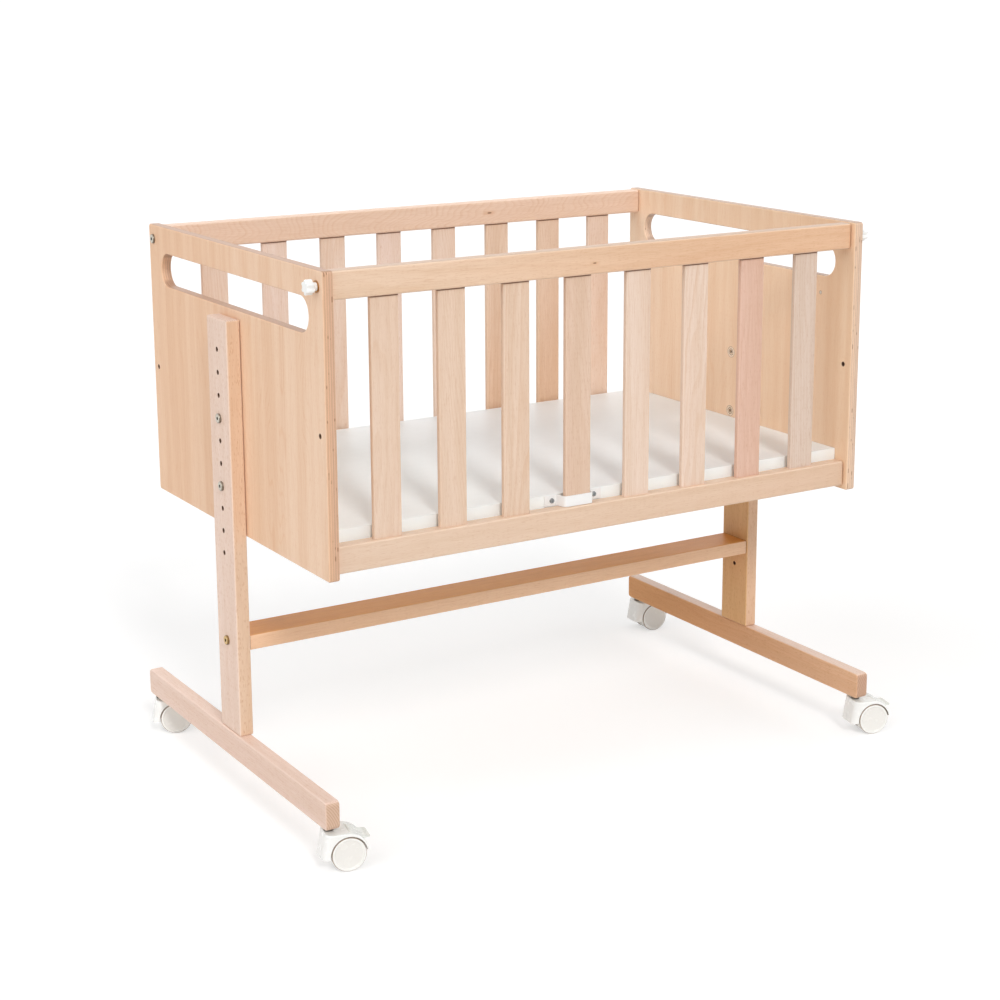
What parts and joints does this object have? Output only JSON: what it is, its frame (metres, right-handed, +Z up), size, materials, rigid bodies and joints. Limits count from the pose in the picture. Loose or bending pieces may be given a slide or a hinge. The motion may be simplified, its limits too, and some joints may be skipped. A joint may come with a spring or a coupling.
{
  "type": "bedside crib",
  "caption": "Bedside crib: a slatted cradle bolted at a chosen height between posts, with a front side that drops, on a stand with swivelling, braked casters.",
  "frame": {"origin": "on the floor, under the middle of the whole outline with its casters and pedals", "axes": "+X along the crib, to the right as seen from the front side; +Y from the front side that drops to the rear side; +Z up"},
  "size_m": [0.9445, 0.6124, 0.763],
  "materials": {
    "beech": "clear matt lacquer",
    "plywood": "clear matt lacquer, plies seen at the edges",
    "white_board": "white melamine",
    "steel": "nickel plated",
    "brass": "plain",
    "white_strap": "smooth",
    "knob_plastic": "milky white",
    "caster_plastic": "glossy white"
  },
  "bodies": {
    "stand": {"left_foot": "beech", "right_foot": "beech", "left_post": "beech", "right_post": "beech", "stretcher": "beech", "stretcher_bolts": "steel", "foot_bolts": "steel", "caster_stems": "steel"},
    "cradle": {"left_end_panel": "plywood", "right_end_panel": "plywood", "rear_top_rail": "beech", "rear_bottom_rail": "beech", "rear_slat_1": "beech", "rear_slat_2": "beech", "rear_slat_3": "beech", "rear_slat_4": "beech", "rear_slat_5": "beech", "rear_slat_6": "beech", "rear_slat_7": "beech", "rear_slat_8": "beech", "mattress_board": "white_board", "board_cleats": "beech", "wood_screws": "steel", "guide_strap": "white_strap", "cradle_bolts": "steel", "panel_nuts": "steel", "rail_dowels": "beech"},
    "front_side": {"front_top_rail": "beech", "front_bottom_rail": "beech", "front_slat_1": "beech", "front_slat_2": "beech", "front_slat_3": "beech", "front_slat_4": "beech", "front_slat_5": "beech", "front_slat_6": "beech", "front_slat_7": "beech", "front_slat_8": "beech", "rail_inserts": "brass"},
    "left_knob_washer": {"left_knob_washer": "steel"},
    "right_knob_washer": {"right_knob_washer": "steel"},
    "left_knob": {"left_knob": "knob_plastic"},
    "right_knob": {"right_knob": "knob_plastic"},
    "front_left_swivel": {"front_left_hood": "caster_plastic", "front_left_axle": "steel"},
    "front_left_near_wheel": {"front_left_near_wheel": "caster_plastic"},
    "front_left_far_wheel": {"front_left_far_wheel": "caster_plastic"},
    "front_left_pedal": {"front_left_brake_pedal": "caster_plastic"},
    "front_right_swivel": {"front_right_hood": "caster_plastic", "front_right_axle": "steel"},
    "front_right_near_wheel": {"front_right_near_wheel": "caster_plastic"},
    "front_right_far_wheel": {"front_right_far_wheel": "caster_plastic"},
    "front_right_pedal": {"front_right_brake_pedal": "caster_plastic"},
    "rear_left_swivel": {"rear_left_hood": "caster_plastic", "rear_left_axle": "steel"},
    "rear_left_near_wheel": {"rear_left_near_wheel": "caster_plastic"},
    "rear_left_far_wheel": {"rear_left_far_wheel": "caster_plastic"},
    "rear_right_swivel": {"rear_right_hood": "caster_plastic", "rear_right_axle": "steel"},
    "rear_right_near_wheel": {"rear_right_near_wheel": "caster_plastic"},
    "rear_right_far_wheel": {"rear_right_far_wheel": "caster_plastic"}
  },
  "joints": [
    {"name": "cradle_height", "type": "slide", "parent": "stand", "child": "cradle", "axis": [0, 0, 1], "range_m": [-0.093, 0.093]},
    {"name": "front_side_drop", "type": "slide", "parent": "cradle", "child": "front_side", "axis": [0, 0, 1], "range_m": [-0.185, 0]},
    {"name": "left_knob_travel", "type": "slide", "parent": "cradle", "child": "left_knob_washer", "axis": [-1, 0, 0], "range_m": [0, 0.014]},
    {"name": "left_knob_turn", "type": "hinge", "parent": "left_knob_washer", "child": "left_knob", "pos_m": [-0.44444, -0.259, 0.743], "axis": [-1, 0, 0], "range_deg": [0, 5060]},
    {"name": "right_knob_travel", "type": "slide", "parent": "cradle", "child": "right_knob_washer", "axis": [1, 0, 0], "range_m": [0, 0.014]},
    {"name": "right_knob_turn", "type": "hinge", "parent": "right_knob_washer", "child": "right_knob", "pos_m": [0.40796, -0.259, 0.743], "axis": [1, 0, 0], "range_deg": [0, 5060]},
    {"name": "front_left_swivel_turn", "type": "hinge", "parent": "stand", "child": "front_left_swivel", "pos_m": [-0.45584, -0.279, 0.0515], "axis": [0, 0, 1], "continuous": true},
    {"name": "front_left_near_wheel_spin", "type": "hinge", "parent": "front_left_swivel", "child": "front_left_near_wheel", "pos_m": [-0.43481, -0.28347, 0.023], "axis": [-0.2079, -0.9781, 0], "continuous": true},
    {"name": "front_left_far_wheel_spin", "type": "hinge", "parent": "front_left_swivel", "child": "front_left_far_wheel", "pos_m": [-0.43481, -0.28347, 0.023], "axis": [-0.2079, -0.9781, 0], "continuous": true},
    {"name": "front_left_brake_release", "type": "hinge", "parent": "front_left_swivel", "child": "front_left_pedal", "pos_m": [-0.4309, -0.2843, 0.0488], "axis": [-0.2079, -0.9781, 0], "range_deg": [0, 15]},
    {"name": "front_right_swivel_turn", "type": "hinge", "parent": "stand", "child": "front_right_swivel", "pos_m": [0.41936, -0.279, 0.0515], "axis": [0, 0, 1], "continuous": true},
    {"name": "front_right_near_wheel_spin", "type": "hinge", "parent": "front_right_swivel", "child": "front_right_near_wheel", "pos_m": [0.44012, -0.28456, 0.023], "axis": [-0.2588, -0.9659, 0], "continuous": true},
    {"name": "front_right_far_wheel_spin", "type": "hinge", "parent": "front_right_swivel", "child": "front_right_far_wheel", "pos_m": [0.44012, -0.28456, 0.023], "axis": [-0.2588, -0.9659, 0], "continuous": true},
    {"name": "front_right_brake_release", "type": "hinge", "parent": "front_right_swivel", "child": "front_right_pedal", "pos_m": [0.44399, -0.2856, 0.0488], "axis": [-0.2588, -0.9659, 0], "range_deg": [0, 15]},
    {"name": "rear_left_swivel_turn", "type": "hinge", "parent": "stand", "child": "rear_left_swivel", "pos_m": [-0.45584, 0.279, 0.0515], "axis": [0, 0, 1], "continuous": true},
    {"name": "rear_left_near_wheel_spin", "type": "hinge", "parent": "rear_left_swivel", "child": "rear_left_near_wheel", "pos_m": [-0.43564, 0.27165, 0.023], "axis": [-0.342, -0.9397, 0], "continuous": true},
    {"name": "rear_left_far_wheel_spin", "type": "hinge", "parent": "rear_left_swivel", "child": "rear_left_far_wheel", "pos_m": [-0.43564, 0.27165, 0.023], "axis": [-0.342, -0.9397, 0], "continuous": true},
    {"name": "rear_right_swivel_turn", "type": "hinge", "parent": "stand", "child": "rear_right_swivel", "pos_m": [0.41936, 0.279, 0.0515], "axis": [0, 0, 1], "continuous": true},
    {"name": "rear_right_near_wheel_spin", "type": "hinge", "parent": "rear_right_swivel", "child": "rear_right_near_wheel", "pos_m": [0.44077, 0.27713, 0.023], "axis": [-0.0872, -0.9962, 0], "continuous": true},
    {"name": "rear_right_far_wheel_spin", "type": "hinge", "parent": "rear_right_swivel", "child": "rear_right_far_wheel", "pos_m": [0.44077, 0.27713, 0.023], "axis": [-0.0872, -0.9962, 0], "continuous": true}
  ],
  "couplings": [
    {"joint": "left_knob_turn", "follows": "left_knob_travel", "rad_per_m": 6283.2},
    {"joint": "right_knob_turn", "follows": "right_knob_travel", "rad_per_m": 6283.2}
  ]
}
